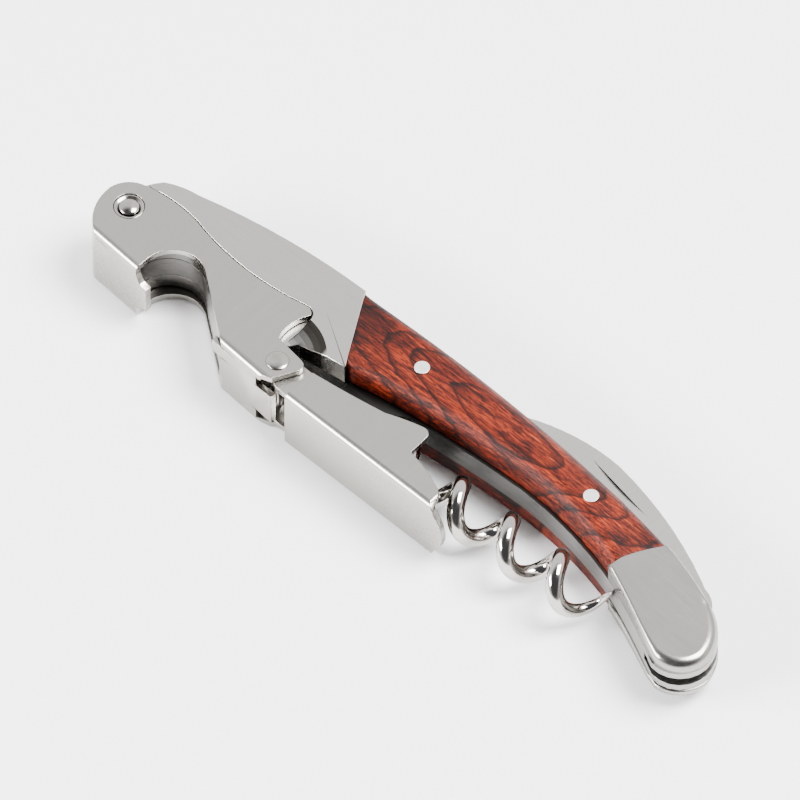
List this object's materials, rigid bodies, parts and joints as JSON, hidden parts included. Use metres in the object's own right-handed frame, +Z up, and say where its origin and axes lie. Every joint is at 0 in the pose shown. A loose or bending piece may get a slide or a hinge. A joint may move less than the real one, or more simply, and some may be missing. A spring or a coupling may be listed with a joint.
{
  "type": "waiters corkscrew",
  "caption": "Folding waiter's corkscrew with a curved wood-scaled steel handle, a two-stage boot lever with a bottle opener mouth, a wire worm and a foil knife.",
  "frame": {"origin": "centre of the closed tool's bounding box in plan, on the plane that it lies on", "axes": "+X from the lever pivot at the head to the knife's end of the handle, +Y to the back of the handle where the knife opens, +Z up across the layers"},
  "size_m": [0.1194, 0.0271, 0.0121],
  "materials": {
    "bolster_steel": "satin",
    "lever_steel": "satin",
    "liner_steel": "brushed",
    "polished_steel": "mirror polished",
    "blade_steel": "fine satin",
    "scale_wood": "polished laminated hardwood"
  },
  "bodies": {
    "handle": {"liner_upper": "liner_steel", "liner_lower": "liner_steel", "head_spacer": "liner_steel", "back_spring": "liner_steel", "front_bolster_upper": "bolster_steel", "front_bolster_lower": "bolster_steel", "scale_upper": "scale_wood", "scale_lower": "scale_wood", "rear_bolster_upper": "bolster_steel", "rear_bolster_lower": "bolster_steel", "scale_pin_front": "polished_steel", "scale_pin_rear": "polished_steel", "head_pivot_rivet": "polished_steel", "head_bushes": "polished_steel", "worm_pivot_pin": "polished_steel", "knife_pivot_pin": "polished_steel"},
    "upper_lever": {"upper_lever": "lever_steel", "knuckle_rivet": "polished_steel"},
    "boot_lever": {"boot_lever": "lever_steel"},
    "worm": {"worm": "polished_steel"},
    "knife": {"foil_knife": "blade_steel"}
  },
  "joints": [
    {"name": "lever_swing", "type": "hinge", "parent": "handle", "child": "upper_lever", "pos_m": [-0.0551, -0.00417, 0.00605], "axis": [0, 0, -1], "range_deg": [0, 130]},
    {"name": "boot_swing", "type": "hinge", "parent": "upper_lever", "child": "boot_lever", "pos_m": [-0.0202, -0.00957, 0.00605], "axis": [0, 0, -1], "range_deg": [0, 40]},
    {"name": "worm_swing", "type": "hinge", "parent": "handle", "child": "worm", "pos_m": [-0.0091, -0.00772, 0.00605], "axis": [0, 0, -1], "range_deg": [0, 90]},
    {"name": "knife_swing", "type": "hinge", "parent": "handle", "child": "knife", "pos_m": [0.0487, 0.00103, 0.00605], "axis": [0, 0, -1], "range_deg": [0, 155]}
  ],
  "couplings": [
    {"joint": "worm_swing", "follows": "lever_swing", "ratio": 0.69}
  ]
}
